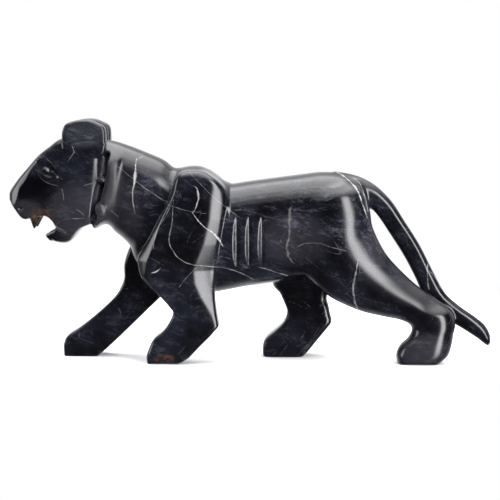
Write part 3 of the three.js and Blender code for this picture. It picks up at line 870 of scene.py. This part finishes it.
veins = [
    # the cream vein down the neck and the branches that meet it
    vein(
        [(129, 202, 0.3), (128.5, 195, 0.9), (128, 189, 1.9)]
        + [(127.5, 180, 1.3), (126, 168, 0.6), (128, 148, 0.2)],
        0.9,
    ),
    vein(
        [(111, 194, 0.22), (130, 179, 0.36), (145, 168, 0.43), (162, 158, 0.29), (198, 150, 0.18)],
        0.37,
        0.05,
    ),
    vein([(137, 205, 0.43), (130, 201, 0.36), (127, 196, 0.29)], 0.37),
    vein([(104, 151, 0.36), (111, 144, 0.43)], 0.37),
    # the bright vein on the shoulder
    vein([(186, 176, 0.5), (191, 168, 0.86), (189.5, 157, 0.72), (185.5, 150, 0.58)], 0.9, -0.04),
    vein([(185.5, 150.5, 0.5), (196, 137, 1.01), (206, 129, 1.37), (215, 116.5, 0.36)], 1.0, -0.04),
    vein([(182, 190, 0.29), (191, 180, 0.36), (213, 159, 0.29), (230, 145, 0.22)], 0.31, -0.04),
    # the long one that loops down the shoulder and back along the belly
    vein([(167, 164, 0.36), (160, 148, 0.5), (150, 131, 0.5), (147, 115, 0.29)], 0.34),
    vein([(167, 163, 0.5), (165, 138, 0.43), (162.5, 123, 0.5), (166, 113, 0.5), (176, 103, 0.43)], 0.46),
    vein([(168, 110, 0.43), (182, 100, 0.43), (195, 98, 0.43), (225, 92, 0.43), (244, 83, 0.36)], 0.46),
    vein([(191, 98, 0.29), (182, 89, 0.36), (172, 77, 0.22)], 0.31),
    vein([(145, 91, 0.36), (150, 92.4, 0.65), (154, 96, 0.43)], 0.9, 0.0, 0.3),
    vein([(250, 96, 0.29), (262, 92, 0.58), (278, 86, 0.29)], 0.43),
    # the flank and the haunch
    vein(
        [(283, 156, 0.5), (280, 146, 1.9), (280, 130, 1.2), (278, 112, 1.7), (283, 100, 0.6)],
        0.2,
        0.08,
        2.6,
    ),
    vein([(288, 116, 0.36), (304, 120, 0.5), (319, 117, 0.43), (336, 113, 0.29)], 0.25, 0.05),
    vein([(347, 104, 0.43), (345, 90, 0.94), (343, 74, 1.22), (348, 52, 1.01)], 0.43, 0.1),
    vein([(326, 188, 0.86), (338, 181, 1.3), (346, 172, 1.01), (352, 157, 0.72), (356, 144, 0.43)], 0.85),
    vein([(344, 182, 0.43), (351, 174, 1.15), (354.5, 162, 0.72), (357, 150, 0.36)], 0.5),
    vein([(417, 98, 0.36), (416, 90, 0.86), (418, 73, 0.58)], 0.43),
    vein([(417, 92, 0.43), (424, 84, 0.36), (430, 74, 0.22)], 0.31),
    # the head
    vein([(70, 153, 0.3), (74.5, 149.5, 0.4), (78, 146, 0.25)], 0.35),
    vein([(56, 142, 0.2), (66, 142.6, 0.4), (78, 143.5, 0.2)], 0.3),
    vein([(56, 172, 0.29), (57.5, 167, 0.5), (58, 161, 0.29)], 0.37),
    vein([(62, 199, 0.29), (69, 209, 0.5)], 0.37, 0.0, 0.4),
    vein([(66, 216, 0.36), (69, 208, 0.5)], 0.37, 0.0, 0.4),
    vein([(78, 176, 0.22), (88, 178.5, 0.43)], 0.31),
]
print(len(veins), "veins placed")

# %% [markdown]
# ## Marks of the chisel, and painted glints on the eye
# Round the eye the chisel left fine lines that were never polished, so they show pale on the black. They
# are too shallow to carve, and are drawn in the same way as the veins. The last two short strokes are
# painted highlights, glints of light on the eye, drawn in the same way and in the same pale colour.

# %% Chisel marks and painted eye glints
chisel_marks_and_eye_glints = [
    ([(34.3, 204.7, 0.4), (38.6, 203.3, 0.7), (43.6, 199, 0.7), (47.2, 195.4, 0.5), (50, 191.8, 0.3)], 0.16),
    ([(31, 189, 0.3), (33.6, 183.1, 0.6), (38.6, 178.8, 0.7), (44.4, 176.7, 0.6), (51.6, 175.2, 0.3)], 0.16),
    ([(45, 189, 0.5), (51.6, 184.6, 0.6), (56.6, 181.7, 0.3)], 0.2),
    # painted highlights: these two strokes are glints of light on the eye, not chisel lines
    ([(37, 191.6, 0.8), (38.8, 191.9, 1.2), (40.6, 191.4, 0.8)], 0.16),
    ([(44, 188.6, 0.7), (46.4, 189.2, 0.9), (48, 188.4, 0.5)], 0.3),
]
veins_marks_and_eye_glints = veins[0]
for each in veins[1:]:
    veins_marks_and_eye_glints = veins_marks_and_eye_glints.larger(each)
# the marks include the two painted highlights on the eye
for line, strength in chisel_marks_and_eye_glints:
    veins_marks_and_eye_glints = veins_marks_and_eye_glints.larger(vein(line, strength, wobble=0.2))
print(len(chisel_marks_and_eye_glints), "chisel marks added to the veins")

# %% [markdown]
# ## Crackle, clouds and stains
# Between the large veins the stone is crossed by hair-fine ones, and clouded with grey that is drawn out
# along its bed. The hairs are the level lines of a noise, because level lines run on and never cross, as
# cracks do. The grey is thickest along the loins and the haunch, and a thinner haze lies on the cheek, the
# neck, the flank and the hind paw. Iron has stained the stone brown at the mouth and on one paw.

# %% Crackle and clouds
def hairs(size, width, at, stretch, tilt):
    """Hair-fine lines where a noise crosses its middle value."""
    level = noise(size, detail=1.0, roughness=0.35, at=at, stretch=stretch, tilt=tilt)
    return abs(level + (broken - 0.5) * 0.02 - 0.5).ramp(width, 0.0)


def spot(x, z, rx, rz):
    """One in the middle of an oval in the side view, fading to zero at its edge."""
    far = ((gx - x) / rx).math("POWER", 2.0) + ((gz - z) / rz).math("POWER", 2.0)
    return far.ramp(1.0, 0.15)


broken = noise(3.5, detail=4, roughness=0.7, at=0.6)
patchy = noise(26, detail=2, at=5.7).ramp(0.47, 0.6)
sparse = noise(30, detail=2, at=7.9).ramp(0.5, 0.62)
crackle = (hairs(26, 0.006, 1.3, 3.5, 28) * patchy).larger(hairs(22, 0.007, 4.4, 3.0, -52) * sparse)
crackle = crackle * broken.ramp(0.4, 0.62) * (1 - spot(56, 168, 60, 55))
loins = (spot(285, 150, 85, 42) + spot(352, 130, 34, 40) + spot(146, 168, 42, 30) * 0.8).math("MINIMUM", 1.0)
grain = noise(1.6, detail=5, roughness=0.8, at=4.9, stretch=1.6, tilt=20).ramp(0.36, 0.68)
mottle = noise(8, detail=9, roughness=0.8, twist=0.5, at=7.0, stretch=2.6, tilt=8).ramp(0.48, 0.72)
flecks = noise(5, detail=6, roughness=0.8, twist=0.3, at=2.2, stretch=2.4, tilt=38).ramp(0.52, 0.76)
cloud = noise(60, detail=4, roughness=0.6, at=9.4).ramp(0.35, 0.75)
haze = spot(70, 148, 38, 38) + spot(116, 150, 24, 44) * 0.6 + spot(412, 14, 30, 22) * 0.9
haze = haze + spot(18, 152, 20, 12) * 0.8 + spot(284, 124, 46, 32) * 0.7 + spot(364, 114, 16, 26)
grey = (mottle * (cloud * 0.5 + loins * 1.1 + 0.15) + flecks * (cloud * 0.4 + 0.2)) * (grain * 1.1 + 0.4)
grey = grey.math("MINIMUM", 1.0)
rust_noise = noise(9, detail=6, roughness=0.7, twist=1.0, at=6.0).ramp(0.42, 0.66)
rust = (spot(36, 148, 15, 8) + spot(26, 140, 9, 9) * 0.7 + spot(157, 6, 12, 7) * 0.8) * rust_noise
ears = spot(78, 226, 30, 17) * gz.ramp(207, 213)
print("crackle, clouds and stains mixed")

# %% [markdown]
# ## Colour and polish
# Polished black marble is almost black, and what is seen on it is mostly the room. So the base colour is
# kept very dark, the veins are only as light as they look, and the roughness decides how sharp the room
# is. The ears were left rough, which makes them grey and dull. The lips and the folds behind the cheek
# are hard to reach with a polishing wheel, so they are duller than the flanks. The hollow of the muzzle
# is painted plain black, as painted shade that makes the recess look deeper.

# %% Marble
black = (0.0016, 0.0016, 0.0024, 1)
slate = (0.009, 0.010, 0.016, 1)
ash = (0.090, 0.092, 0.113, 1)
smoke = (0.034, 0.032, 0.038, 1)
scuffed = (0.075, 0.085, 0.115, 1)
hair_grey = (0.2, 0.195, 0.2, 1)
# pale colour of the veins and chisel marks, also used for the painted highlights on the eye
chalk_and_eye_glint = (0.42, 0.40, 0.39, 1)
brown = (0.095, 0.046, 0.028, 1)
base = cloud.mix(black, slate)
base = ((mottle * 0.5 + 0.5) * haze).math("MINIMUM", 1.0).mix(base, smoke)
base = (grey * 0.6).mix(base, ash)
# painted shade: the recess beside the muzzle is mixed to plain black, darker than the stone round it
painted_hollow_shade = spot(25, 173, 28, 17)
base = painted_hollow_shade.mix(base, black)
base = (ears * (0.1 + 0.85 * mottle) * (grain * 0.6 + 0.4)).mix(base, scuffed)
base = (crackle * 0.24).mix(base, hair_grey)
base = (rust * 0.75).math("MINIMUM", 0.7).mix(base, brown)
# veins, chisel marks and two painted highlights on the eye, all mixed to the same pale colour
base = veins_marks_and_eye_glints.math("MINIMUM", 1.0).mix(base, chalk_and_eye_glint)
lips, behind_cheek = spot(28, 150, 34, 17), spot(101, 172, 20, 48)
dull = noise(20, detail=3, at=2.9) * 0.08 + 0.13
dull = dull + ears * 0.3 + veins_marks_and_eye_glints * 0.06 + lips * 0.22 + behind_cheek * 0.26
pits = noise(1.6, detail=3, roughness=0.6, at=1.1) * ears
bump = net.node("ShaderNodeBump", {}, {"Strength": 0.5, "Distance": 0.0004, "Height": pits})
shader = tree.nodes["Principled BSDF"]
for socket, wire in {"Base Color": base, "Roughness": dull, "Normal": bump}.items():
    tree.links.new(wire.socket, shader.inputs[socket])
shader.inputs["Specular IOR Level"].default_value = 0.4
tiger.data.materials.clear()
tiger.data.materials.append(marble)
print(len(tree.nodes), "nodes in the marble")

# %% [markdown]
# ## The floor
# The figure stands on a plain white disc. It is kept out of the reflections, because a white floor mirrored
# in the belly would make black stone look grey.

# %% Floor
FLOOR_RADIUS = 0.45  # metres
SET_BACK = 0.24  # metres from the figure to the middle of the disc, away from the viewer
disc_middle = (middle.x, middle.y + SET_BACK, floor_z)
bpy.ops.mesh.primitive_circle_add(
    vertices=128, radius=FLOOR_RADIUS, fill_type="NGON", location=disc_middle
)
floor = bpy.context.object
floor.name = "floor"
floor_material = bpy.data.materials.new("floor")
floor_material.use_nodes = True
floor_shader = floor_material.node_tree.nodes["Principled BSDF"]
floor_shader.inputs["Base Color"].default_value = (0.92, 0.92, 0.92, 1)
floor_shader.inputs["Roughness"].default_value = 0.9
floor_shader.inputs["Specular IOR Level"].default_value = 0.1
floor.data.materials.append(floor_material)
floor.visible_glossy = False
print("floor laid")

# %% [markdown]
# ## The light
# Polished stone is a dark mirror, so it is lit by what it reflects. One wide lamp overhead gives the soft
# shadow, and the room round the figure is painted with patches of light. A pale wall and ceiling draw the
# bands along the back and the crown. An upright strip to the right draws the streaks down the shoulder and
# the haunch, and a lamp to the left lights the edge of the nose. The side behind the camera is left dark,
# so the flanks stay black. Seen directly, the whole room is white.

# %% Lamp overhead
hung = Vector((0, 0.15, 1.15))
aim = Vector((0, 0.1, 0.1))
top_data = bpy.data.lights.new("top", "AREA")
top_data.shape = "RECTANGLE"
top_data.size, top_data.size_y = 1.2, 1.0  # metres
top_data.energy = 6  # watts
top = bpy.data.objects.new("top", top_data)
top.location = hung
top.rotation_euler = (aim - hung).to_track_quat("-Z", "Y").to_euler()
top.visible_camera = False
bpy.context.scene.collection.objects.link(top)
print("lamp hung at", tuple(hung))

# %% Room
world = bpy.data.worlds.new("room")
world.use_nodes = True
room = Wire(world.node_tree)
direction = room.node("ShaderNodeTexCoord", {}, {}, output=0)
depth, height = [room.node("ShaderNodeSeparateXYZ", {}, {0: direction}, output=k) for k in (1, 2)]


def toward(x, y, z=0.0):
    """How far each direction of the room leans towards this one."""
    along = tuple(Vector((x, y, z)).normalized())
    return room.node("ShaderNodeVectorMath", {"operation": "DOT_PRODUCT"}, {0: direction, 1: along}, output=1)


wall = depth.ramp(0.0, 0.7) * 1.1
ceiling = height.ramp(0.58, 1.0) * 5.5
strip = abs(toward(0.75, 0.66)).ramp(0.27, 0.07) * toward(0.66, -0.75).ramp(0.3, 0.6)
strip = strip * height.ramp(-0.5, -0.15) * height.ramp(0.78, 0.5) * 16.0
lamp_left = toward(-0.97, -0.04, 0.24).ramp(0.95, 0.985) * 6.0
dim, bright, white = (0.04, 0.04, 0.048, 1), (1.0, 1.0, 1.03, 1), (1.0, 1.0, 1.0, 1)
light = (wall + ceiling + strip + lamp_left).mix(dim, bright, over=True)
seen = room.node("ShaderNodeLightPath", {}, {}, output=0)
light = seen.mix(light, white)
background = world.node_tree.nodes["Background"]
world.node_tree.links.new(light.socket, background.inputs["Color"])
background.inputs["Strength"].default_value = 1.0
bpy.context.scene.world = world
bpy.context.scene.view_settings.view_transform = "Standard"
print(len(world.node_tree.nodes), "nodes in the room")
